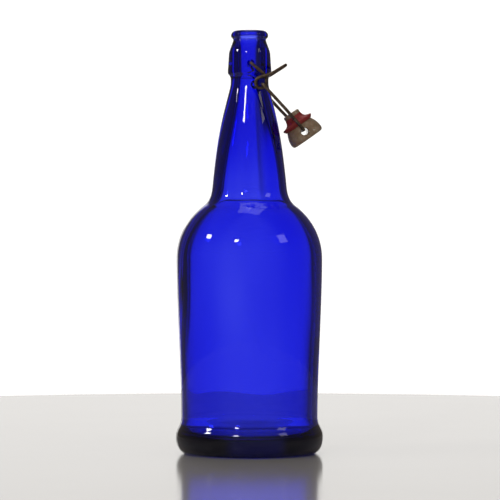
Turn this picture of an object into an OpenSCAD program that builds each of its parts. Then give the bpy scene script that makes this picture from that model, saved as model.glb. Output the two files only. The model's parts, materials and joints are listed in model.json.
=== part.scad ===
// Swing-top glass bottle with its stopper open and hanging beside the neck.
// Origin at the centre of the base, +Z up, the wires pivot along Y, the stopper hangs on +X.

/* [Body] */
// Outer diameter of the heel, the widest ring near the base
heel_d = 101.2; // [84:0.1:122]
// Outer diameter of the waist just above the heel
waist_d = 93.8; // [78:0.1:113]
// Outer diameter where the body meets the shoulder
body_d = 100.2; // [83:0.1:121]
// Height of the widest line of the heel
heel_h = 11.2; // [8:0.1:14]
// Width of the rounding under the heel
heel_round = 7.4; // [5:0.1:9]
// Height of the waist
waist_h = 25; // [20:0.5:32]
// Height at which the shoulder starts
body_h = 134; // [110:1:165]
// Thickness of the glass
wall = 3.6; // [2.8:0.1:4.4]
// Thickness of the glass at the heel
heel_wall = 5.4; // [4:0.1:7]
// Thickness of the glass at the base
base_t = 6; // [4:0.5:9]
// Depth of the hollow under the base
punt_h = 4; // [2:0.5:6]
// Width of the flat ring that the bottle stands on
bearing_w = 2.6; // [1.5:0.1:4]

/* [Shoulder and neck] */
// Height of the shoulder, from the body to the neck
shoulder_h = 50; // [42:1:60]
// Outer diameter at the foot of the neck
neck_foot_d = 51.2; // [44:0.1:60]
// Outer diameter of the throat, the narrowest ring below the collar
throat_d = 26.1; // [25:0.1:30]
// Height of the neck, from its foot to the throat
neck_h = 73; // [60:1:88]

/* [Mouth] */
// Inner diameter of the mouth
bore_d = 16; // [13:0.1:18]
// Length of the straight bore below the rim
bore_l = 30; // [20:1:33]
// Outer diameter of the collar at its lower edge
collar_d = 30.2; // [29.4:0.1:37]
// Height of the collar above its lower edge
collar_h = 12.5; // [11:0.5:15]
// Inward lean of the collar on each side
collar_lean = 0.8; // [0:0.1:1.5]
// Outer diameter of the groove under the lip
groove_d = 22.6; // [22:0.1:25]
// Outer diameter of the lip at the mouth
lip_d = 25.7; // [25:0.1:29]
// Height of the lip
lip_h = 6.4; // [5:0.1:8]
// Height of the pivot dimples above the collar's lower edge
pivot_rise = 5.6; // [4:0.1:8]
// Depth of the pivot dimples
dimple_depth = 2.6; // [2:0.1:3]

/* [Wires] */
// Diameter of the wire
wire_d = 2.2; // [1.8:0.1:2.7]
// Clearance of a wire end in its dimple
pivot_gap = 0.08; // [0.05:0.01:0.1]
// Clearance of a wire where it bears on an eyelet or on the cross hole
bearing_gap = 0.1; // [0.05:0.01:0.2]
// Clearance between the wires that pass each other
wire_gap = 0.3; // [0.2:0.05:0.5]
// Clearance between the crank and the collar
collar_gap = 0.4; // [0.3:0.1:1]
// Clearance between the bail and the sides of the cap
cap_gap = 0.8; // [0.5:0.1:1.5]
// Distance from the pivot to the centre of the eyelet
crank_l = 15.3; // [15:0.1:18]
// Angle of the crank below the horizontal while the bottle is open
crank_angle = 63.6; // [58:0.1:70]
// Angle at which the crank leaves the pivot, below the horizontal
crank_lead = 40.5; // [36:0.5:46]
// Play of the bail wire in the eyelet
eyelet_play = 3; // [2:0.1:4]
// Distance from the pivot to the end of the thumb loop
thumb_l = 24.5; // [24:0.1:30]
// Angle of the end of the thumb loop below the horizontal
thumb_angle = 2.4; // [0:0.1:10]
// Length of the raised end of the thumb loop
thumb_rise_l = 11.9; // [9:0.1:14]
// Angle of the raised end of the thumb loop above the horizontal
thumb_rise = 32; // [25:1:40]
// Width of the thumb loop at its end
thumb_w = 18; // [14:0.5:24]
// Length of the bail's hooks inside the eyelets
hook_l = 3.2; // [2.5:0.1:3.5]
// Angle of the crank past the lowest point when the bottle is shut
over_centre = 12; // [8:1:16]

/* [Stopper] */
// Largest diameter of the stopper's cap
cap_d = 24.8; // [22:0.1:27]
// Height of the cap above the wire
cap_above = 7.2; // [6.5:0.1:9]
// Depth of the cap below the wire
cap_below = 4.2; // [3:0.1:5.5]
// Play of the bail wire in the cap's cross hole
cross_play = 2.8; // [2.2:0.1:4]
// Clearance on each side between the plug and the mouth
plug_gap = 1.9; // [1.2:0.1:2.4]
// Height of the plug
plug_h = 2.9; // [2.3:0.1:4]
// Width of the plug's shoulder under the gasket
plug_shoulder = 1.9; // [1.2:0.1:2.4]
// Distance of the gasket's edge inside the edge of the bottle's lip
gasket_inset = 1.35; // [0.5:0.05:2.5]
// Height of the gasket
gasket_h = 7.3; // [6:0.1:9]
// Distance from the cap down to the gasket's widest edge
gasket_lip = 2.4; // [1.8:0.1:3]
// Clearance between the gasket and the stem
gasket_fit = 0.05; // [0.02:0.01:0.1]
// Angle of the cap's top below the horizontal while the stopper hangs
stopper_angle = 55; // [40:1:80]
// Clearance between the neck and the stopper as it turns on the wire
hang_gap = 0.4; // [0.3:0.1:2]
// Height of the wire above the rim when the stopper is seated
seat_rise = 5.6; // [4.5:0.1:8]

/* [Hidden] */
$fn = 64;
STEPS = 9;       // straight pieces in each curve of an outline
CUT = 1;         // how far a cut runs past a surface
JOIN = 0.015;    // how much thicker a wire's bend is than its straights, so that they join cleanly
LAP = 0.05;      // how far a straight runs into a bend

// Heights along the bottle
neck_foot_z = body_h + shoulder_h;
throat_z = neck_foot_z + neck_h;
neck_top_z = throat_z - 7;
collar_z = throat_z + 5.5;
collar_top_z = collar_z + collar_h;
groove_z = collar_top_z + 9.6;
lip_z = groove_z + 3;
rim_z = groove_z + lip_h;
pivot_z = collar_z + pivot_rise;
pivot = [0, pivot_z];

// Radii along the bottle
heel_foot_r = heel_d / 2 - heel_round;
bearing_in_r = heel_foot_r - bearing_w;
neck_foot_r = neck_foot_d / 2;
throat_r = throat_d / 2;
neck_top_r = throat_r + 0.9;
collar_r = collar_d / 2;
collar_top_r = collar_r - collar_lean;
groove_r = groove_d / 2;
lip_r = lip_d / 2;
bore_r = bore_d / 2;
lip_round = 3.2;
rim_round = 1.4;

// The shoulder turns from outward to inward curving at this point, at this angle
turn_angle = 37;
turn = [mix(neck_foot_r, body_d / 2, 0.23), body_h + 0.74 * shoulder_h];
turn_way = [-cos(turn_angle), sin(turn_angle)];
turn_inward = -[sin(turn_angle), cos(turn_angle)];

// Inward slopes at the foot and the top of the neck, and how far its curve follows each
neck_slope = 0.1;
neck_top_slope = 0.26;
neck_hold = 0.45 * neck_h;
neck_top_hold = 0.33 * neck_h;
body_hold = 0.28 * (body_h - waist_h);

function unit(v) = v / norm(v);
function polar(r, a) = r * [cos(a), sin(a)];
function mix(a, b, t) = a + (b - a) * t;

// Points of a cubic curve with two handles, without its last point
function curve(p0, p1, p2, p3, steps = STEPS) = [
    for (i = [0 : steps - 1])
    let (t = i / steps, s = 1 - t)
    s * s * s * p0 + 3 * s * s * t * p1 + 3 * s * t * t * p2 + t * t * t * p3
];

// Side of the glass from the waist to the foot of the neck, moved inward by w
function side(w) =
    let (
        waist = [waist_d / 2 - w, waist_h],
        top = [body_d / 2 - w, body_h],
        bend = turn + w * turn_inward,
        foot = [neck_foot_r - w, neck_foot_z]
    )
    concat(
        curve(waist, waist + [0, body_hold], top - [0, body_hold], top),
        curve(
            top, top + [0, 0.34 * shoulder_h - 0.6 * w],
            bend - (0.25 * shoulder_h - 0.4 * w) * turn_way, bend
        ),
        curve(
            bend, bend + 0.1 * shoulder_h * turn_way,
            foot - 0.11 * shoulder_h * [-neck_slope, 1], foot, 4
        )
    );

// Rounded heel, from the bearing ring to the waist
heel = concat(
    curve(
        [heel_foot_r, 0], [mix(heel_foot_r, heel_d / 2, 0.55), 0],
        [heel_d / 2, 0.35 * heel_h], [heel_d / 2, heel_h], 6
    ),
    curve(
        [heel_d / 2, heel_h], [heel_d / 2, mix(heel_h, waist_h, 0.47)],
        [waist_d / 2, mix(heel_h, waist_h, 0.53)], [waist_d / 2, waist_h]
    )
);

// Neck, throat and the underside of the collar
neck = concat(
    curve(
        [neck_foot_r, neck_foot_z],
        [neck_foot_r - neck_slope * neck_hold, neck_foot_z + neck_hold],
        [neck_top_r + neck_top_slope * neck_top_hold, neck_top_z - neck_top_hold],
        [neck_top_r, neck_top_z]
    ),
    curve(
        [neck_top_r, neck_top_z], [neck_top_r - neck_top_slope * 3, neck_top_z + 3],
        [throat_r, throat_z - 3.5], [throat_r, throat_z], 4
    ),
    curve(
        [throat_r, throat_z], [throat_r, throat_z + 3.6],
        [collar_r, collar_z - 2.2], [collar_r, collar_z], 5
    )
);
outer_side = concat(heel, side(0), neck);

// The collar, the groove above it and the rounded lip down to the bore
mouth = concat(
    [[collar_r, collar_z]],
    curve(
        [collar_top_r, collar_top_z], [collar_top_r - 0.2, collar_top_z + 2.7],
        [groove_r, groove_z - 1.4], [groove_r, groove_z], 6
    ),
    curve([groove_r, groove_z], [groove_r, groove_z + 1.1], [lip_r, lip_z - 1.8], [lip_r, lip_z], 4),
    curve([lip_r, lip_z], [lip_r, rim_z - 2.2], [lip_r - 1.2, rim_z], [lip_r - lip_round, rim_z], 5),
    curve(
        [bore_r + rim_round, rim_z], [bore_r + 0.4 * rim_round, rim_z],
        [bore_r, rim_z - 0.4 * rim_round], [bore_r, rim_z - rim_round], 4
    )
);

// Inside of the glass, from the middle of the floor up to the mouth
inner_r = waist_d / 2 - wall;
heel_inner_r = heel_d / 2 - heel_wall;
heel_inner_z = mix(heel_h, waist_h, 0.31);
floor_z = punt_h + base_t;
bore_foot_z = rim_z - bore_l;
inside = concat(
    curve(
        [0, floor_z], [0.6 * heel_inner_r, floor_z],
        [heel_inner_r, floor_z], [heel_inner_r, heel_inner_z]
    ),
    curve(
        [heel_inner_r, heel_inner_z], [heel_inner_r, mix(heel_inner_z, waist_h, 0.47)],
        [inner_r, mix(heel_inner_z, waist_h, 0.53)], [inner_r, waist_h], 5
    ),
    side(wall),
    curve(
        [neck_foot_r - wall, neck_foot_z],
        [neck_foot_r - wall - neck_slope * neck_hold, neck_foot_z + neck_hold],
        [bore_r, bore_foot_z - 0.3 * neck_h], [bore_r, bore_foot_z]
    ),
    [[bore_r, bore_foot_z], [bore_r, rim_z - rim_round]]
);

// Hollow under the base, from the bearing ring to the middle
punt = concat(
    curve(
        [bearing_in_r, 0], [bearing_in_r - 5, 0.7 * punt_h],
        [0.5 * bearing_in_r, punt_h], [0, punt_h], 6
    ),
    [[0, punt_h]]
);

// Lever wire in the side view, as x and z from the pivot: crank, eyelet and thumb loop
wire_r = wire_d / 2;
eyelet_d = wire_d + eyelet_play;
eyelet_r = (eyelet_d + wire_d) / 2;
eyelet = polar(crank_l, -crank_angle);
knee = (eyelet.x + eyelet_r) * [1, -tan(crank_lead)];
thumb_end = polar(thumb_l, -thumb_angle);
thumb_foot = thumb_end - polar(thumb_rise_l, thumb_rise);
from_eyelet = thumb_foot - eyelet;
leave_angle = atan2(from_eyelet.y, from_eyelet.x) - asin(eyelet_r / norm(from_eyelet));
coil_top = eyelet + polar(eyelet_r / cos((90 - leave_angle) / 2), 135 + leave_angle / 2);

// Distances of the wires from the bottle's middle plane
dimple_y = mix(collar_r, collar_top_r, pivot_rise / collar_h) - dimple_depth;
crank_y = collar_r + collar_gap + wire_r;
hook_gap = 0.2;
coil_gap = 0.1;
hook_y = crank_y - wire_d - hook_gap;
thumb_y = crank_y + wire_d + coil_gap;
bail_y = thumb_y + wire_d + wire_gap;
cap_r = cap_d / 2;
cap_side_y = cap_r + cap_gap + wire_r;

// Bail wire: its ends bear on the eyelets' sides towards the stopper
eyelet_slack = eyelet_play / 2 - bearing_gap;
shut_eyelet = polar(crank_l, -90 - over_centre);
bail_l = norm([shut_eyelet.x, rim_z + seat_rise - pivot_z - shut_eyelet.y]) - eyelet_slack;
bail_bend_l = 0.53 * bail_l;

// The stopper, as radius and height from the wire: the side of the hole rests on the wire
cross_hole_d = wire_d + cross_play;
hole_rise = cross_play / 2 - bearing_gap;
plug_r = bore_r - plug_gap;
stem_r = plug_r - plug_shoulder;
gasket_r = lip_r - gasket_inset;
gasket_foot = -cap_below - gasket_h;
plug_foot = gasket_foot - plug_h;

// Outline of the stopper: the cap, the stem inside the gasket, and the plug
cap_edge = 1.6;
cap_top_r = cap_r - 0.3;
cap_side_z = cap_above - 1.7 * cap_edge;
skirt_edge = 0.6;
skirt_r = cap_r - 2.3;
skirt_z = skirt_edge - cap_below;
cap = concat(
    [[0, cap_above]],
    curve(
        [cap_top_r - cap_edge, cap_above], [cap_top_r - 0.4 * cap_edge, cap_above],
        [cap_r, cap_above - 0.5 * cap_edge], [cap_r, cap_side_z], 5
    ),
    curve(
        [cap_r, cap_side_z], [cap_r, 0.2 * cap_above],
        [mix(skirt_r, cap_r, 0.55), -0.3 * cap_below], [skirt_r, skirt_z], 6
    ),
    [[skirt_r, skirt_z], [skirt_r - skirt_edge, -cap_below]]
);
stem = [[stem_r, -cap_below], [stem_r, gasket_foot]];
plug_edge = 1.2;
plug = concat(
    [[plug_r, gasket_foot]],
    curve(
        [plug_r, plug_foot + plug_edge], [plug_r, plug_foot + 0.4 * plug_edge],
        [plug_r - 0.4 * plug_edge, plug_foot], [plug_r - plug_edge, plug_foot], 4
    ),
    [[plug_r - plug_edge, plug_foot], [0, plug_foot]]
);
stopper_outline = concat(cap, stem, plug);
swing_r = max([for (point = stopper_outline) norm(point)]);

// The bail hangs at the steepest angle that lets the stopper turn clear of the neck
function wire_at(angle) = pivot + eyelet + polar(eyelet_slack + bail_l, -angle);
function to_segment(p, a, b) =
    let (t = max(0, min(1, (p - a) * (b - a) / ((b - a) * (b - a)))))
    norm(p - mix(a, b, t));
function to_glass(p) =
    min([for (i = [1 : len(outer_side) - 1]) to_segment(p, outer_side[i - 1], outer_side[i])]);
function hangs_clear(angle) = to_glass(wire_at(angle)) > swing_r + hang_gap;
function hang(low, high, steps) =
    let (middle = (low + high) / 2, clear = hangs_clear(middle))
    steps == 0 ? low : hang(clear ? middle : low, clear ? high : middle, steps - 1);
bail_angle = hang(0, 80, 16);
bail_pivot = pivot + eyelet + polar(eyelet_slack, -bail_angle);
stopper_pivot = wire_at(bail_angle);

// A point beside the bottle, from its place in the side view and its distance from the middle plane
function beside(side_view, y) = [side_view.x, y, side_view.y];

// A wire bent through points, with a bend radius at each inner point
module bent_wire(points, bends) {
    last = len(points) - 1;
    ways = [for (i = [1 : last]) unit(points[i] - points[i - 1])];
    turns = [for (i = [1 : last - 1]) acos(ways[i - 1] * ways[i])];
    cuts = [for (i = [0 : last]) i == 0 || i == last ? 0 : bends[i - 1] * tan(turns[i - 1] / 2)];
    for (i = [1 : last])
        let (
            way = ways[i - 1],
            across = unit(cross(way, abs(way.z) > 0.9 ? [1, 0, 0] : [0, 0, 1])),
            from = i == 1 ? 0 : cuts[i - 1] - LAP,
            upto = norm(points[i] - points[i - 1]) - (i == last ? 0 : cuts[i] - LAP)
        )
        place(across, cross(way, across), way, points[i - 1] + from * way)
            cylinder(h = upto - from, d = wire_d);
    for (i = [1 : last - 1])
        let (
            way = ways[i - 1],
            inward = unit(ways[i] - way * (ways[i] * way)),
            start = points[i] - way * cuts[i]
        )
        place(-inward, way, cross(-inward, way), start + inward * bends[i - 1])
            rotate_extrude(angle = turns[i - 1])
                translate([bends[i - 1], 0])
                    circle(d = wire_d + 2 * JOIN);
}

// Moves children into a frame given by three unit vectors and an origin
module place(x, y, z, at) {
    multmatrix([
        [x.x, y.x, z.x, at.x],
        [x.y, y.y, z.y, at.y],
        [x.z, y.z, z.z, at.z],
        [0, 0, 0, 1]
    ])
        children();
}

// A list in the opposite order, and a wire's other half across the middle plane
function backward(list) = [for (i = [len(list) - 1 : -1 : 0]) list[i]];
function mirrored(points) = [for (point = backward(points)) [point.x, -point.y, point.z]];

module bottle() {
    color("#1826d8")
    difference() {
        rotate_extrude()
            polygon(concat(outer_side, mouth, backward(inside), backward(punt)));
        for (side = [-1, 1])
            translate([0, side * dimple_y, pivot_z])
                rotate([-90 * side, 0, 0])
                    cylinder(h = dimple_depth + CUT, d = wire_d + 2 * pivot_gap);
    }
}

module lever_wire() {
    end_gap = 0.2;
    coil_r = 0.96 * eyelet_r;
    coil_step = (thumb_y - crank_y) / 4;
    half = [
        beside(pivot, dimple_y + end_gap),
        beside(pivot, crank_y),
        beside(pivot + knee, crank_y),
        beside(pivot + eyelet + eyelet_r * [1, -1], crank_y + coil_step),
        beside(pivot + eyelet + eyelet_r * [-1, -1], crank_y + 2.5 * coil_step),
        beside(pivot + coil_top, thumb_y),
        beside(pivot + thumb_foot, thumb_y),
        beside(pivot + thumb_end, thumb_w / 2)
    ];
    half_bends = [2, 3, coil_r, coil_r, coil_r, 5, 6];
    color("#8b7f74")
    bent_wire(concat(half, mirrored(half)), concat(half_bends, backward(half_bends)));
}

module bail_wire() {
    along = polar(1, -bail_angle);
    half = [
        beside(bail_pivot + hook_l * along, hook_y),
        beside(bail_pivot, hook_y),
        beside(bail_pivot, bail_y),
        beside(bail_pivot + bail_bend_l * along, bail_y),
        beside(stopper_pivot, cap_side_y)
    ];
    half_bends = [1.6, 1.8, 9, 1.8];
    color("#8b7f74")
    bent_wire(concat(half, mirrored(half)), concat(half_bends, backward(half_bends)));
}

// Puts a piece made around the wire, with its top along +Z, where the stopper hangs
module hanging() {
    translate([stopper_pivot.x, 0, stopper_pivot.y])
        rotate([0, 90 + stopper_angle, 0])
            children();
}

module stopper() {
    countersink = 1.5;
    color("#b9a283")
    hanging()
        difference() {
            rotate_extrude()
                polygon(stopper_outline);
            translate([0, 0, hole_rise])
                rotate([90, 0, 0])
                    cylinder(h = cap_d + 2 * CUT, d = cross_hole_d, center = true);
            for (side = [-1, 1])
                translate([0, side * (cap_r - 0.9 * countersink), hole_rise])
                    rotate([-90 * side, 0, 0])
                        cylinder(
                            h = countersink + CUT,
                            d1 = cross_hole_d, d2 = cross_hole_d + 2 * countersink
                        );
        }
}

module gasket() {
    hole_r = stem_r + gasket_fit;
    foot_r = plug_r + 0.1;
    edge = 0.6;
    flare = gasket_r - skirt_r;
    edge_z = -cap_below - gasket_lip;
    shape = concat(
        [[hole_r, gasket_foot], [hole_r, -cap_below]],
        [[gasket_r - flare, -cap_below], [gasket_r, edge_z + edge]],
        curve(
            [gasket_r, edge_z], [gasket_r - 2.9, edge_z - 0.8],
            [foot_r + 0.4, mix(gasket_foot, edge_z, 0.71)], [foot_r, gasket_foot], 8
        ),
        [[foot_r, gasket_foot]]
    );
    color("#b8343a")
    hanging()
        rotate_extrude()
            polygon(shape);
}

bottle();
lever_wire();
bail_wire();
stopper();
gasket();
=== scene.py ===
"""Swing-top bottle of cobalt glass, open, with its porcelain stopper hanging beside the neck."""

import json
import math

import bpy
import numpy as np
from mathutils import Matrix, Vector

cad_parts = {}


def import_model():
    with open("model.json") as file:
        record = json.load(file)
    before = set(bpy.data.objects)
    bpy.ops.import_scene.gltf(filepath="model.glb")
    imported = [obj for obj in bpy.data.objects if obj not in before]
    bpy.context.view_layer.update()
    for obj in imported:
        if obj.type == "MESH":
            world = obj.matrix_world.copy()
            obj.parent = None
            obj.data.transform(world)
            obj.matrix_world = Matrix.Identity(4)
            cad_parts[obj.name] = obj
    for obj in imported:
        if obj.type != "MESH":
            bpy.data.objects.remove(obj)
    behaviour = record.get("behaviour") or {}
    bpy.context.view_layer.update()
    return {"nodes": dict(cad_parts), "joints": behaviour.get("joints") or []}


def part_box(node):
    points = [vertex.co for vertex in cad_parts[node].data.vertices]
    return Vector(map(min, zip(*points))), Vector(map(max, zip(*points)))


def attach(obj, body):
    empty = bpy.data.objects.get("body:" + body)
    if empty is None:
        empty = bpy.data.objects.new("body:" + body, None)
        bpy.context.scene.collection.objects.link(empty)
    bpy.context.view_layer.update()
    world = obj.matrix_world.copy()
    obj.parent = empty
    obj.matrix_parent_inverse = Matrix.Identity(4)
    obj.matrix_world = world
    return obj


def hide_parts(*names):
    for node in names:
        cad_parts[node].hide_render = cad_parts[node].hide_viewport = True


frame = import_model()
joints = {joint["name"]: Vector(joint["pos_m"]) for joint in frame["joints"]}

MM = 0.001

# Where the pieces are: the joints' axes and the highest corner of the bottle's box, in metres
PIVOT = joints["lever_swing"]
BAIL_PIVOT = joints["bail_swing"]
STOPPER_PIVOT = joints["stopper_spin"]
BOTTLE_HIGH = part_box("bottle")[1]

# The bottle, in millimetres
RIM_Z = BOTTLE_HIGH.z / MM
HEEL_R = BOTTLE_HIGH.x / MM
PIVOT_Z = PIVOT.z / MM
HEEL_Z = 11.2
HEEL_FOOT_R = HEEL_R - 7.4
BEARING_R = HEEL_FOOT_R - 2.6
WAIST_R = 46.9
WAIST_Z = 25
BODY_R = 50.1
BODY_Z = 134
SHOULDER_H = 50
TURN_ANGLE = math.radians(37)
NECK_FOOT_R = 25.6
NECK_FOOT_Z = BODY_Z + SHOULDER_H
NECK_H = 73
THROAT_R = 13.05
THROAT_Z = NECK_FOOT_Z + NECK_H
NECK_TOP_R = THROAT_R + 0.9
NECK_TOP_Z = THROAT_Z - 7
NECK_SLOPE = 0.1
NECK_TOP_SLOPE = 0.26
NECK_HOLD = 0.45 * NECK_H
NECK_TOP_HOLD = 0.33 * NECK_H
COLLAR_R = 15.1
COLLAR_TOP_R = 14.3
COLLAR_Z = THROAT_Z + 5.5
COLLAR_TOP_Z = COLLAR_Z + 12.5
GROOVE_R = 11.3
GROOVE_Z = RIM_Z - 6.4
LIP_R = 12.85
LIP_Z = GROOVE_Z + 3
LIP_ROUND = 3.2
BORE_R = 8
BORE_FOOT_Z = RIM_Z - 30
RIM_ROUND = 1.4
WALL = 3.6
HEEL_WALL = 5.4
PUNT_H = 4
FLOOR_Z = PUNT_H + 6
DIMPLE_DEPTH = 2.6
DIMPLE_R = 1.15
DIMPLE_FLARE_R = 2.3
SEAM_HEIGHT = 0.14
SEAM_WIDTH = 0.42

# The wires, in millimetres
WIRE_R = 1.1
CRANK_Y = 16.6
THUMB_Y = 18.9
HOOK_Y = 14.2
BAIL_Y = 21.4
CAP_SIDE_Y = 14.3
THUMB_TIP_Y = 9
COIL_R = 3.7
DIMPLE_Y = 12.34
EYELET = Vector((15.3 * math.cos(math.radians(63.6)), 0, -15.3 * math.sin(math.radians(63.6))))
KNEE = Vector((EYELET.x + COIL_R, 0, -(EYELET.x + COIL_R) * math.tan(math.radians(40.5))))
THUMB_END = Vector((24.48, 0, -1.03))
THUMB_FOOT = Vector((14.39, 0, -7.33))
HOOK_L = 3.2
BAIL_BEND = 0.53
WIRE_STEP = 0.3

# The stopper, in millimetres from its wire, with its top along +Z
CAP_R = 12.4
CAP_TOP = 7.2
CAP_FOOT = -4.2
SKIRT_R = 10.1
PLUG_R = 6.1
STEM_R = 4.2
GASKET_R = 11.5
GASKET_EDGE = -6.6
GASKET_FOOT = -11.5
PLUG_FOOT = -14.4
HOLE_R = 2.5
HOLE_RISE = 1.3
STOPPER_TILT = math.radians(90 + 55)


def mix(a, b, t):
    return a + (b - a) * t


def smooth_step(low, high, value):
    t = np.clip((value - low) / (high - low), 0, 1)
    return t * t * (3 - 2 * t)


def curve(p0, p1, p2, p3, steps):
    """Points of a cubic curve with two handles, without its last point."""
    p0, p1, p2, p3 = (np.array(p, float) for p in (p0, p1, p2, p3))
    t = (np.arange(steps) / steps)[:, None]
    s = 1 - t
    return s**3 * p0 + 3 * s * s * t * p1 + 3 * s * t * t * p2 + t**3 * p3


def line(a, b, steps):
    """Points from a towards b, without b."""
    a, b = np.array(a, float), np.array(b, float)
    t = (np.arange(steps) / steps)[:, None]
    return mix(a, b, t)


def side(inward):
    """Side of the glass from the waist to the foot of the neck, moved inward."""
    way = np.array((-math.cos(TURN_ANGLE), math.sin(TURN_ANGLE)))
    inward_way = -np.array((math.sin(TURN_ANGLE), math.cos(TURN_ANGLE)))
    turn = np.array((mix(NECK_FOOT_R, BODY_R, 0.23), BODY_Z + 0.74 * SHOULDER_H)) + inward * inward_way
    waist = np.array((WAIST_R - inward, WAIST_Z))
    top = np.array((BODY_R - inward, BODY_Z))
    foot = np.array((NECK_FOOT_R - inward, NECK_FOOT_Z))
    hold = np.array((0, 0.28 * (BODY_Z - WAIST_Z)))
    lead = 0.11 * SHOULDER_H * np.array((-NECK_SLOPE, 1))
    return np.concatenate((
        curve(waist, waist + hold, top - hold, top, 90),
        curve(
            top, top + (0, 0.34 * SHOULDER_H - 0.6 * inward),
            turn - (0.25 * SHOULDER_H - 0.4 * inward) * way, turn, 48,
        ),
        curve(turn, turn + 0.1 * SHOULDER_H * way, foot - lead, foot, 16),
    ))


def outside():
    """Outside of the glass, from the middle of the punt to the waist, the neck and the rim."""
    return np.concatenate((
        curve((0, PUNT_H), (0.5 * BEARING_R, PUNT_H), (BEARING_R - 5, 0.7 * PUNT_H), (BEARING_R, 0), 24),
        curve((BEARING_R, 0), (BEARING_R + 1, 0), (HEEL_FOOT_R - 1, 0), (HEEL_FOOT_R, 0), 4),
        curve(
            (HEEL_FOOT_R, 0), (mix(HEEL_FOOT_R, HEEL_R, 0.55), 0),
            (HEEL_R, 0.35 * HEEL_Z), (HEEL_R, HEEL_Z), 24,
        ),
        curve(
            (HEEL_R, HEEL_Z), (HEEL_R, mix(HEEL_Z, WAIST_Z, 0.47)),
            (WAIST_R, mix(HEEL_Z, WAIST_Z, 0.53)), (WAIST_R, WAIST_Z), 28,
        ),
        side(0),
        curve(
            (NECK_FOOT_R, NECK_FOOT_Z), (NECK_FOOT_R - NECK_SLOPE * NECK_HOLD, NECK_FOOT_Z + NECK_HOLD),
            (NECK_TOP_R + NECK_TOP_SLOPE * NECK_TOP_HOLD, NECK_TOP_Z - NECK_TOP_HOLD),
            (NECK_TOP_R, NECK_TOP_Z), 60,
        ),
        curve(
            (NECK_TOP_R, NECK_TOP_Z), (NECK_TOP_R - 3 * NECK_TOP_SLOPE, NECK_TOP_Z + 3),
            (THROAT_R, THROAT_Z - 3.5), (THROAT_R, THROAT_Z), 12,
        ),
        curve(
            (THROAT_R, THROAT_Z), (THROAT_R, THROAT_Z + 3.6),
            (COLLAR_R, COLLAR_Z - 2.2), (COLLAR_R, COLLAR_Z), 14,
        ),
        line((COLLAR_R, COLLAR_Z), (COLLAR_TOP_R, COLLAR_TOP_Z), 44),
        curve(
            (COLLAR_TOP_R, COLLAR_TOP_Z), (COLLAR_TOP_R - 0.2, COLLAR_TOP_Z + 2.7),
            (GROOVE_R, GROOVE_Z - 1.4), (GROOVE_R, GROOVE_Z), 22,
        ),
        curve((GROOVE_R, GROOVE_Z), (GROOVE_R, GROOVE_Z + 1.1), (LIP_R, LIP_Z - 1.8), (LIP_R, LIP_Z), 10),
        curve((LIP_R, LIP_Z), (LIP_R, RIM_Z - 2.2), (LIP_R - 1.2, RIM_Z), (LIP_R - LIP_ROUND, RIM_Z), 14),
        line((LIP_R - LIP_ROUND, RIM_Z), (BORE_R + RIM_ROUND, RIM_Z), 1),
    ))


def inside():
    """Inside of the glass, from the rim down the bore to the middle of the floor."""
    inner_r = WAIST_R - WALL
    heel_r = HEEL_R - HEEL_WALL
    heel_z = mix(HEEL_Z, WAIST_Z, 0.31)
    up = np.concatenate((
        curve((0, FLOOR_Z), (0.6 * heel_r, FLOOR_Z), (heel_r, FLOOR_Z), (heel_r, heel_z), 44),
        curve(
            (heel_r, heel_z), (heel_r, mix(heel_z, WAIST_Z, 0.47)),
            (inner_r, mix(heel_z, WAIST_Z, 0.53)), (inner_r, WAIST_Z), 16,
        ),
        side(WALL),
        curve(
            (NECK_FOOT_R - WALL, NECK_FOOT_Z),
            (NECK_FOOT_R - WALL - NECK_SLOPE * NECK_HOLD, NECK_FOOT_Z + NECK_HOLD),
            (BORE_R, BORE_FOOT_Z - 0.3 * NECK_H), (BORE_R, BORE_FOOT_Z), 60,
        ),
        line((BORE_R, BORE_FOOT_Z), (BORE_R, RIM_Z - RIM_ROUND), 12),
        curve(
            (BORE_R, RIM_Z - RIM_ROUND), (BORE_R, RIM_Z - 0.4 * RIM_ROUND),
            (BORE_R + 0.4 * RIM_ROUND, RIM_Z), (BORE_R + RIM_ROUND, RIM_Z), 8,
        ),
    ))
    return up[::-1]


def ring_angles():
    """Angles round the bottle, closer together at the two mould seams and at the two dimples."""
    angles = set(np.round(np.arange(0, 360, 1.25), 4))
    for seam in (0, 180):
        angles |= {round((seam + step) % 360, 4) for step in (-1, -0.7, -0.45, -0.2, 0.2, 0.45, 0.7, 1)}
    for dimple in (90, 270):
        angles |= {round(dimple + 0.625 * step, 4) for step in range(-13, 14)}
    return np.radians(sorted(angles))


def wall_waves(angle, z):
    """How far the inner wall stands in or out, in millimetres, as blown glass does."""
    broad = 0.42 * np.sin(3 * angle + 0.65 + 0.5 * np.sin(z / 60))
    streaks = 0.26 * np.sin(7 * angle + 0.43 + 1.1 * np.sin(z / 60 + 1))
    fine = 0.03 * np.sin(15 * angle + 2 * np.sin(z / 45))
    rings = 0.05 * np.sin(z / 5.5 + 0.6 * np.sin(2 * angle)) * smooth_step(110, 150, z)
    settled = smooth_step(WAIST_Z + 35, BODY_Z - 20, z) * (1 - smooth_step(NECK_TOP_Z - 50, BORE_FOOT_Z, z))
    return (broad + streaks + fine + rings) * settled


def seam(angle, z):
    """Height of the two mould seams that run up the bottle's sides to below the lip."""
    near = np.exp(-((np.sin(angle) * 50 / SEAM_WIDTH) ** 2))
    return SEAM_HEIGHT * near * smooth_step(3, 8, z) * (1 - smooth_step(COLLAR_TOP_Z, COLLAR_TOP_Z + 4, z))


def make_object(name, points, faces):
    mesh = bpy.data.meshes.new(name)
    mesh.from_pydata([tuple(point) for point in points], [], faces)
    mesh.validate()
    mesh.shade_smooth()
    made = bpy.data.objects.new(name, mesh)
    bpy.context.scene.collection.objects.link(made)
    return made


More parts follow.
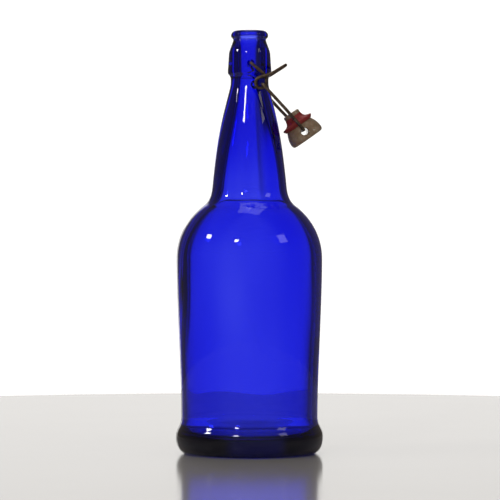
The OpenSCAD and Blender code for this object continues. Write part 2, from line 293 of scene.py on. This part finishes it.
def ring_faces(rows, columns, closed_rows=False):
    """Faces between rings of points, and a fan at each end if the rings don't close on themselves."""
    faces = []
    for row in range(rows if closed_rows else rows - 1):
        upper = (row + 1) % rows
        for column in range(columns):
            right = (column + 1) % columns
            faces.append((
                row * columns + column, row * columns + right,
                upper * columns + right, upper * columns + column,
            ))
    if not closed_rows:
        first, last = rows * columns, rows * columns + 1
        for column in range(columns):
            right = (column + 1) % columns
            faces.append((first, right, column))
            faces.append((last, (rows - 1) * columns + column, (rows - 1) * columns + right))
    return faces


def glass():
    """The bottle: one closed skin round the outside and the inside of the glass."""
    outer, inner = outside(), inside()
    profile = np.concatenate((outer[1:], inner[:-1]))
    is_outer = np.arange(len(profile)) < len(outer) - 1
    angle, r = np.meshgrid(ring_angles(), profile[:, 0])
    z = np.repeat(profile[:, 1][:, None], angle.shape[1], axis=1)
    outward = np.repeat(is_outer[:, None], angle.shape[1], axis=1)
    ripple = 0.05 * np.sin(5 * angle + z / 40) + 0.012 * np.sin(z / 9 + 2 * np.sin(angle))
    ripple = ripple * smooth_step(WAIST_Z, WAIST_Z + 20, z)
    ripple = ripple * (1 - smooth_step(NECK_TOP_Z - 20, NECK_TOP_Z, z))
    r = r + np.where(outward, ripple + seam(angle, z) * (r > BEARING_R + 4), wall_waves(angle, z))
    knurl = (0.5 - 0.5 * np.cos(48 * angle)) * smooth_step(BEARING_R, BEARING_R + 1, r)
    knurl = knurl * (1 - smooth_step(HEEL_FOOT_R - 1, HEEL_FOOT_R + 1.5, r))
    z = z + np.where(outward & (z < 1), 0.35 * knurl, 0)
    x, y = r * np.cos(angle), r * np.sin(angle)
    from_dimple = np.hypot(x, z - PIVOT_Z)
    depth = DIMPLE_DEPTH * (1 - smooth_step(DIMPLE_R, DIMPLE_FLARE_R, from_dimple))
    y = y - np.where(outward & (from_dimple < 3), np.sign(y) * depth, 0)
    points = np.stack((x, y, z), axis=-1).reshape(-1, 3)
    ends = np.array(((0, 0, PUNT_H), (0, 0, FLOOR_Z)))
    return make_object("glass_bottle", np.concatenate((points, ends)) * MM, ring_faces(*angle.shape))


def lathe(name, profile, columns, closed=False):
    """A turned piece round Z from its outline, which goes up on the outside, closed or ending on the axis."""
    profile = np.array(profile, float)
    ends = [] if closed else [(0, 0, profile[0, 1]), (0, 0, profile[-1, 1])]
    rings = profile if closed else profile[1:-1]
    angle, r = np.meshgrid(np.arange(columns) * 2 * math.pi / columns, rings[:, 0])
    z = np.repeat(rings[:, 1][:, None], columns, axis=1)
    points = np.stack((r * np.cos(angle), r * np.sin(angle), z), axis=-1).reshape(-1, 3)
    if len(ends):
        points = np.concatenate((points, np.array(ends)))
    return make_object(name, points * MM, ring_faces(len(rings), columns, closed))


def rounded(points, bends, spacing=WIRE_STEP):
    """The centreline of a wire bent through points, with a bend radius at each inner one."""
    path = [Vector(points[0])]
    for before, corner, after, bend in zip(points, points[1:], points[2:], bends):
        corner = Vector(corner)
        arrive = (corner - Vector(before)).normalized()
        leave = (Vector(after) - corner).normalized()
        turn = arrive.angle(leave)
        if bend == 0 or turn < 0.001:
            path.append(corner)
            continue
        start = corner - arrive * bend * math.tan(turn / 2)
        inward = (leave - arrive * arrive.dot(leave)).normalized()
        steps = max(6, math.ceil(bend * turn / spacing))
        for step in range(steps + 1):
            part = turn * step / steps
            path.append(start + bend * (arrive * math.sin(part) + inward * (1 - math.cos(part))))
    path.append(Vector(points[-1]))
    return path


def evenly(path, spacing):
    """The same line with its points evenly apart."""
    points = np.array([tuple(point) for point in path])
    length = np.concatenate(([0], np.cumsum(np.linalg.norm(np.diff(points, axis=0), axis=1))))
    keep = np.concatenate(([True], np.diff(length) > 1e-6))
    wanted = np.linspace(0, length[-1], max(2, round(length[-1] / spacing)))
    return np.stack([np.interp(wanted, length[keep], points[keep, axis]) for axis in range(3)], axis=1)


def wire(name, path, sides=20):
    """A drawn wire along a line, with rounded ends and the faint unevenness of a hand-bent one."""
    points = evenly(path, WIRE_STEP)
    tangent = np.gradient(points, axis=0)
    tangent /= np.linalg.norm(tangent, axis=1)[:, None]
    across = np.cross(tangent[0], (0.3, 0.2, 1.0))
    rings = []
    along = np.arange(len(points)) * WIRE_STEP
    radius = WIRE_R * (1 + 0.012 * np.sin(along / 1.9) + 0.01 * np.sin(along / 0.83 + 1))
    from_end = np.minimum(along, along[::-1])
    radius = radius * np.sqrt(np.clip(0.35 + from_end / 0.7, 0, 1))
    angles = np.arange(sides) * 2 * math.pi / sides
    for point, way, r in zip(points, tangent, radius):
        across = across - way * np.dot(across, way)
        across /= np.linalg.norm(across)
        other = np.cross(way, across)
        rings.append(point + r * (np.cos(angles)[:, None] * across + np.sin(angles)[:, None] * other))
    ends = np.array((points[0], points[-1]))
    skin = np.concatenate(rings + [ends])
    return make_object(name, skin * MM, ring_faces(len(points), sides))


def beside(origin, offset, y):
    """A point in millimetres at a side-view offset from a joint's axis, and y from the middle plane."""
    return Vector((origin.x / MM + offset.x, y, origin.z / MM + offset.z))


def mirrored(points):
    return [Vector((point.x, -point.y, point.z)) for point in reversed(points)]


def lever_wire():
    """The lever: ends in the dimples, cranks, one turn of coil for each eyelet, and the thumb loop."""
    to_foot = THUMB_FOOT - EYELET
    leave = math.atan2(to_foot.z, to_foot.x) - math.asin(COIL_R / to_foot.length)
    sweep = 2 * math.pi - (leave + math.pi / 2)
    turns = 40
    coil = []
    for step in range(turns + 1):
        angle = -sweep * step / turns
        offset = EYELET + COIL_R * Vector((math.cos(angle), 0, math.sin(angle)))
        coil.append(beside(PIVOT, offset, mix(CRANK_Y, THUMB_Y, smooth_step(0.05, 0.95, step / turns))))
    half = [
        beside(PIVOT, Vector((0, 0, 0)), DIMPLE_Y),
        beside(PIVOT, Vector((0, 0, 0)), CRANK_Y),
        beside(PIVOT, KNEE, CRANK_Y),
        *coil,
        beside(PIVOT, THUMB_FOOT, THUMB_Y),
        beside(PIVOT, THUMB_END, THUMB_TIP_Y),
    ]
    bends = [2, 3, *[0] * len(coil), 5, 5.5]
    return wire("lever_thumb_wire", rounded(half + mirrored(half), bends + bends[::-1]))


def bail_wire():
    """The bail: hooks through the eyelets, two arms, and the crosspiece through the stopper."""
    arm = STOPPER_PIVOT - BAIL_PIVOT
    along = arm.normalized()
    half = [
        beside(BAIL_PIVOT, HOOK_L * along, HOOK_Y),
        beside(BAIL_PIVOT, Vector((0, 0, 0)), HOOK_Y),
        beside(BAIL_PIVOT, Vector((0, 0, 0)), BAIL_Y),
        beside(BAIL_PIVOT, BAIL_BEND * arm / MM, BAIL_Y),
        beside(STOPPER_PIVOT, Vector((0, 0, 0)), CAP_SIDE_Y),
    ]
    bends = [1.6, 1.8, 9, 1.8]
    return wire("bail_loop_wire", rounded(half + mirrored(half), bends + bends[::-1]))


def hang(piece):
    """Puts a piece made round the wire where the stopper hangs."""
    piece.matrix_world = Matrix.Translation(STOPPER_PIVOT) @ Matrix.Rotation(STOPPER_TILT, 4, "Y")
    return piece


def settle(piece):
    """Makes the piece's modifiers part of its mesh."""
    bpy.context.view_layer.update()
    seen = piece.evaluated_get(bpy.context.evaluated_depsgraph_get())
    piece.data = bpy.data.meshes.new_from_object(seen)
    piece.modifiers.clear()
    piece.data.shade_smooth()


def porcelain_stopper():
    """Cap, stem and plug of the stopper in one glazed piece, with the hole for the bail through it."""
    edge = 1.6
    top_r = CAP_R - 0.3
    shoulder_z = CAP_TOP - 1.7 * edge
    body = lathe("porcelain_stopper", np.concatenate((
        line((0, CAP_TOP - 0.15), (top_r - edge, CAP_TOP), 12),
        curve(
            (top_r - edge, CAP_TOP), (top_r - 0.4 * edge, CAP_TOP),
            (CAP_R, CAP_TOP - 0.5 * edge), (CAP_R, shoulder_z), 10,
        ),
        curve(
            (CAP_R, shoulder_z), (CAP_R, 0.2 * CAP_TOP),
            (mix(SKIRT_R, CAP_R, 0.55), 0.3 * CAP_FOOT), (SKIRT_R, CAP_FOOT + 0.6), 16,
        ),
        curve(
            (SKIRT_R, CAP_FOOT + 0.6), (SKIRT_R - 0.1, CAP_FOOT + 0.2),
            (SKIRT_R - 0.3, CAP_FOOT), (SKIRT_R - 0.7, CAP_FOOT), 6,
        ),
        line((SKIRT_R - 0.7, CAP_FOOT), (STEM_R, CAP_FOOT), 6),
        line((STEM_R, CAP_FOOT), (STEM_R, GASKET_FOOT), 8),
        line((STEM_R, GASKET_FOOT), (PLUG_R, GASKET_FOOT), 3),
        line((PLUG_R, GASKET_FOOT), (PLUG_R, PLUG_FOOT + 1.2), 4),
        curve(
            (PLUG_R, PLUG_FOOT + 1.2), (PLUG_R, PLUG_FOOT + 0.5),
            (PLUG_R - 0.5, PLUG_FOOT), (PLUG_R - 1.2, PLUG_FOOT), 6,
        ),
        line((PLUG_R - 1.2, PLUG_FOOT), (0, PLUG_FOOT), 6),
        ((0, PLUG_FOOT),),
    ))[::-1], 128)
    reach = CAP_R + 2
    cutter = lathe("hole_cutter", (
        (0, -reach), (HOLE_R + 2.9, -reach), (HOLE_R + 0.2, 1.4 - CAP_R), (HOLE_R, 2.2 - CAP_R),
        (HOLE_R, CAP_R - 2.2), (HOLE_R + 0.2, CAP_R - 1.4), (HOLE_R + 2.9, reach), (0, reach),
    ), 48)
    cutter.matrix_world = Matrix.Translation((0, 0, HOLE_RISE * MM)) @ Matrix.Rotation(math.pi / 2, 4, "X")
    hole = body.modifiers.new("hole", "BOOLEAN")
    hole.operation = "DIFFERENCE"
    hole.solver = "EXACT"
    hole.object = cutter
    skin = body.modifiers.new("skin", "REMESH")
    skin.mode = "VOXEL"
    skin.voxel_size = 0.2 * MM
    glaze = body.modifiers.new("glaze", "SMOOTH")
    glaze.factor = 0.5
    glaze.iterations = 6
    settle(body)
    bpy.data.objects.remove(cutter)
    return hang(body)


def rubber_gasket():
    """The rubber washer: it flares from the cap to its widest edge, then narrows to the plug."""
    hole_r = STEM_R + 0.05
    foot_r = PLUG_R + 0.1
    made = lathe("rubber_gasket", np.concatenate((
        line((hole_r, GASKET_FOOT), (hole_r, CAP_FOOT), 8),
        line((hole_r, CAP_FOOT), (SKIRT_R - 0.2, CAP_FOOT), 8),
        curve(
            (SKIRT_R - 0.2, CAP_FOOT), (SKIRT_R + 0.1, CAP_FOOT),
            (SKIRT_R + 0.2, CAP_FOOT - 0.2), (SKIRT_R + 0.4, CAP_FOOT - 0.5), 5,
        ),
        curve(
            (SKIRT_R + 0.4, CAP_FOOT - 0.5), (SKIRT_R + 0.7, CAP_FOOT - 1),
            (GASKET_R, GASKET_EDGE + 1), (GASKET_R, GASKET_EDGE + 0.4), 8,
        ),
        curve(
            (GASKET_R, GASKET_EDGE + 0.4), (GASKET_R, GASKET_EDGE - 0.1),
            (GASKET_R - 0.3, GASKET_EDGE - 0.2), (GASKET_R - 0.7, GASKET_EDGE - 0.25), 6,
        ),
        curve(
            (GASKET_R - 0.7, GASKET_EDGE - 0.25), (GASKET_R - 3.1, GASKET_EDGE - 0.9),
            (foot_r + 0.45, GASKET_EDGE - 1.2), (foot_r, GASKET_FOOT + 0.4), 22,
        ),
        curve(
            (foot_r, GASKET_FOOT + 0.4), (foot_r, GASKET_FOOT + 0.1),
            (foot_r - 0.2, GASKET_FOOT), (foot_r - 0.5, GASKET_FOOT), 4,
        ),
        line((foot_r - 0.5, GASKET_FOOT), (hole_r, GASKET_FOOT), 3),
    ))[::-1], 144, closed=True)
    for point in made.data.vertices:
        angle = math.atan2(point.co.y, point.co.x)
        r = math.hypot(point.co.x, point.co.y) / MM
        droop = 0.14 * math.sin(2 * angle + 0.7) + 0.08 * math.sin(5 * angle)
        if point.co.z / MM < CAP_FOOT - 0.2:
            point.co.z += droop * MM * max(0, (r - foot_r) / (GASKET_R - foot_r))
    return hang(made)


# Materials: everything is worked out from each piece's own coordinates


class Shader:
    """A material's nodes, with short calls to add and join them."""

    def __init__(self, name):
        self.material = bpy.data.materials.new(name)
        self.material.use_nodes = True
        self.tree = self.material.node_tree
        self.surface = self.tree.nodes["Principled BSDF"]
        self.place = self.node("ShaderNodeTexCoord").outputs["Object"]

    def node(self, kind, **values):
        made = self.tree.nodes.new(kind)
        for name, value in values.items():
            setattr(made, name, value)
        return made

    def join(self, output, socket):
        self.tree.links.new(output, socket)

    def noise(self, scale, detail=4, roughness=0.5, stretch=None):
        made = self.node("ShaderNodeTexNoise")
        made.inputs["Scale"].default_value = scale
        made.inputs["Detail"].default_value = detail
        made.inputs["Roughness"].default_value = roughness
        place = self.place
        if stretch:
            mapping = self.node("ShaderNodeMapping")
            mapping.inputs["Scale"].default_value = stretch
            self.join(self.place, mapping.inputs["Vector"])
            place = mapping.outputs["Vector"]
        self.join(place, made.inputs["Vector"])
        return made.outputs["Fac"]

    def cells(self, scale):
        made = self.node("ShaderNodeTexVoronoi")
        made.inputs["Scale"].default_value = scale
        self.join(self.place, made.inputs["Vector"])
        return made.outputs["Distance"]

    def ramp(self, value, *stops):
        """A colour for each value: stops are (position, colour)."""
        made = self.node("ShaderNodeValToRGB")
        ramp = made.color_ramp
        while len(ramp.elements) < len(stops):
            ramp.elements.new(0.5)
        for element, (position, colour) in zip(ramp.elements, stops):
            element.position = position
            element.color = (*colour, 1)
        self.join(value, made.inputs["Fac"])
        return made.outputs["Color"]

    def spread(self, value, low, high, to_low, to_high):
        """The value moved from one range to another."""
        made = self.node("ShaderNodeMapRange")
        for name, number in (("From Min", low), ("From Max", high), ("To Min", to_low), ("To Max", to_high)):
            made.inputs[name].default_value = number
        self.join(value, made.inputs["Value"])
        return made.outputs["Result"]

    def blend(self, share, first, second):
        """The first colour where the share is 0, and the second, a plain one, where it is 1."""
        made = self.node("ShaderNodeMix", data_type="RGBA")
        low, high = (socket for socket in made.inputs if socket.type == "RGBA")
        self.join(share, made.inputs["Factor"])
        self.join(first, low)
        high.default_value = (*second, 1)
        return next(socket for socket in made.outputs if socket.type == "RGBA")

    def bump(self, height, strength, distance):
        made = self.node("ShaderNodeBump")
        made.inputs["Strength"].default_value = strength
        made.inputs["Distance"].default_value = distance
        self.join(height, made.inputs["Height"])
        self.join(made.outputs["Normal"], self.surface.inputs["Normal"])

    def set(self, **values):
        for name, value in values.items():
            self.surface.inputs[name.replace("_", " ")].default_value = value


def cobalt_glass():
    shader = Shader("cobalt_glass")
    shader.set(Transmission_Weight=1.0, IOR=1.52)
    tint = shader.ramp(shader.noise(9, 3), (0.3, (0.97, 0.98, 1.0)), (0.7, (1.0, 1.0, 1.0)))
    shader.join(tint, shader.surface.inputs["Base Color"])
    smears = shader.noise(38, 5, 0.6, stretch=(1, 1, 0.35))
    shader.join(shader.spread(smears, 0.45, 0.8, 0.0, 0.07), shader.surface.inputs["Roughness"])
    shader.bump(shader.noise(60, 2, stretch=(1, 1, 0.1)), 0.06, 0.0004)
    absorb = shader.node("ShaderNodeVolumeAbsorption")
    absorb.inputs["Color"].default_value = (0.01, 0.109, 0.936, 1)
    absorb.inputs["Density"].default_value = 590
    shader.join(absorb.outputs["Volume"], shader.tree.nodes["Material Output"].inputs["Volume"])
    return shader.material


def dulled_steel(name, dark, bright):
    """Drawn wire that has lost its shine, with brown bloom and brighter rubbed spots."""
    shader = Shader(name)
    shader.set(Metallic=0.9)
    bloom = shader.ramp(shader.noise(420, 6, 0.62), (0.35, dark), (0.62, bright))
    spots = shader.spread(shader.cells(1600), 0.0, 0.35, 0.75, 0.0)
    colour = shader.blend(spots, bloom, (0.11, 0.06, 0.035))
    shader.join(colour, shader.surface.inputs["Base Color"])
    shader.join(shader.spread(shader.noise(700, 5), 0.3, 0.7, 0.3, 0.58), shader.surface.inputs["Roughness"])
    shader.bump(shader.noise(2200, 4), 0.35, 0.00008)
    return shader.material


def glazed_porcelain():
    shader = Shader("glazed_porcelain")
    shader.set(IOR=1.5, Coat_Weight=0.6, Coat_Roughness=0.08, Subsurface_Weight=0.15, Subsurface_Scale=0.003)
    body = shader.ramp(
        shader.noise(170, 5, 0.55),
        (0.3, (0.32, 0.20, 0.115)), (0.52, (0.45, 0.31, 0.195)), (0.72, (0.57, 0.425, 0.29)),
    )
    specks = shader.spread(shader.cells(900), 0.0, 0.13, 0.7, 0.0)
    colour = shader.blend(specks, body, (0.25, 0.14, 0.07))
    shader.join(colour, shader.surface.inputs["Base Color"])
    shader.join(shader.spread(shader.noise(90, 4), 0.35, 0.7, 0.16, 0.36), shader.surface.inputs["Roughness"])
    shader.bump(shader.noise(260, 3), 0.25, 0.00012)
    return shader.material


def red_rubber():
    shader = Shader("red_rubber")
    shader.set(IOR=1.45)
    body = shader.ramp(
        shader.noise(260, 6, 0.6),
        (0.28, (0.26, 0.02, 0.022)), (0.5, (0.46, 0.045, 0.045)), (0.75, (0.56, 0.085, 0.075)),
    )
    dust = shader.spread(shader.noise(1500, 4, 0.7), 0.55, 0.8, 0.0, 0.35)
    colour = shader.blend(dust, body, (0.60, 0.30, 0.26))
    shader.join(colour, shader.surface.inputs["Base Color"])
    shader.join(shader.spread(shader.noise(500, 4), 0.3, 0.7, 0.5, 0.72), shader.surface.inputs["Roughness"])
    shader.bump(shader.noise(1800, 5), 0.4, 0.0001)
    return shader.material


def pale_floor():
    shader = Shader("pale_floor")
    shader.set(IOR=1.45, Roughness=0.14)
    shade = shader.ramp(shader.noise(3, 4), (0.3, (0.60, 0.585, 0.56)), (0.7, (0.64, 0.62, 0.60)))
    shader.join(shade, shader.surface.inputs["Base Color"])
    return shader.material


def floor():
    """A round pale floor that the bottle stands on."""
    made = lathe("floor", ((0, -8), (646, -8), (650, -6), (650, -2), (648, 0), (0, 0)), 256)
    made.data.materials.append(pale_floor())
    made.data.shade_flat()


WINDOW_TURN = math.radians(-1)
FRONT_LIGHT = (0.2, 0.2, 0.2)
SIDE_LIGHT = (0.105, 0.09, 0.082)
BACK_LIGHT = (1.0, 0.985, 0.96)
WINDOW_FADE = (0.974, 0.9925)


def world():
    """Soft light from all round: bright behind the bottle, less so in front, and dim at the sides."""
    made = bpy.data.worlds.new("studio")
    bpy.context.scene.world = made
    made.use_nodes = True
    nodes, links = made.node_tree.nodes, made.node_tree.links
    background = nodes["Background"]
    way = nodes.new("ShaderNodeTexCoord")
    level = nodes.new("ShaderNodeVectorMath")
    level.operation = "MULTIPLY"
    level.inputs[1].default_value = (1, 1, 0)
    compass = nodes.new("ShaderNodeVectorMath")
    compass.operation = "NORMALIZE"
    towards = nodes.new("ShaderNodeVectorMath")
    towards.operation = "DOT_PRODUCT"
    towards.inputs[1].default_value = (math.sin(WINDOW_TURN), math.cos(WINDOW_TURN), 0)
    spread = nodes.new("ShaderNodeMapRange")
    for name, number in (("From Min", -1), ("From Max", 1), ("To Min", 0), ("To Max", 1)):
        spread.inputs[name].default_value = number
    tone = nodes.new("ShaderNodeValToRGB")
    links.new(way.outputs["Generated"], level.inputs[0])
    links.new(level.outputs["Vector"], compass.inputs[0])
    links.new(compass.outputs["Vector"], towards.inputs[0])
    links.new(towards.outputs["Value"], spread.inputs["Value"])
    links.new(spread.outputs["Result"], tone.inputs["Fac"])
    fade_from, fade_to = WINDOW_FADE
    stops = ((0.06, FRONT_LIGHT), (0.3, SIDE_LIGHT), (fade_from, SIDE_LIGHT), (fade_to, BACK_LIGHT))
    ramp = tone.color_ramp
    ramp.interpolation = "EASE"
    while len(ramp.elements) < len(stops):
        ramp.elements.new(0.5)
    for element, (position, colour) in zip(ramp.elements, stops):
        element.position = position
        element.color = (*colour, 1)
    links.new(tone.outputs["Color"], background.inputs["Color"])
    background.inputs["Strength"].default_value = 1.15


def soft_light(name, place, target, width, height, power, colour=(1, 1, 1)):
    light = bpy.data.lights.new(name, "AREA")
    light.shape = "RECTANGLE"
    light.size = width
    light.size_y = height
    light.energy = power
    light.color = colour
    made = bpy.data.objects.new(name, light)
    made.location = place
    made.rotation_euler = (Vector(target) - Vector(place)).to_track_quat("-Z", "Y").to_euler()
    bpy.context.scene.collection.objects.link(made)


def lights():
    soft_light("left_window", (-1.74, -0.27, 1.19), (0, 0, 0.235), 0.3, 0.2, 5, (1, 0.98, 0.95))
    soft_light("front_window", (-0.77, -1.58, 1.19), (0, 0, 0.235), 0.22, 0.22, 4, (1, 0.98, 0.95))
    soft_light("fill_right", (1.9, -1.2, 1.5), (0, 0, 0.2), 0.6, 0.6, 2.2, (1, 0.94, 0.88))
    soft_light("top", (0.1, 0.3, 2.4), (0, 0, 0.1), 1.0, 1.0, 3)


def camera():
    """A long lens a little left of the front and just above the shoulder's height."""
    data = bpy.data.cameras.new("camera")
    data.lens = 194
    data.sensor_width = 36
    distance, azimuth = 1.857, math.radians(-3)
    made = bpy.data.objects.new("camera", data)
    aim = Vector((0.0003, 0, 0.14))
    made.location = (distance * math.sin(azimuth), -distance * math.cos(azimuth), 0.16)
    made.rotation_euler = (aim - made.location).to_track_quat("-Z", "Y").to_euler()
    bpy.context.scene.collection.objects.link(made)
    bpy.context.scene.camera = made
    bpy.context.scene.view_settings.view_transform = "Standard"


def dress(piece, body, node, material):
    """The piece rides on its body, stands for its node and takes its material."""
    piece.data.materials.clear()
    piece.data.materials.append(material)
    cad = frame["nodes"][node]
    cad.data.materials.clear()
    cad.data.materials.append(material)
    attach(piece, body)
    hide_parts(node)


camera()
world()
lights()
floor()
lever_steel = dulled_steel("lever_steel", (0.085, 0.055, 0.036), (0.25, 0.185, 0.135))
bail_steel = dulled_steel("bail_steel", (0.095, 0.063, 0.042), (0.27, 0.205, 0.15))
dress(glass(), "bottle", "bottle", cobalt_glass())
dress(lever_wire(), "lever", "lever_wire", lever_steel)
dress(bail_wire(), "bail", "bail_wire", bail_steel)
dress(porcelain_stopper(), "stopper", "stopper", glazed_porcelain())
dress(rubber_gasket(), "stopper", "gasket", red_rubber())
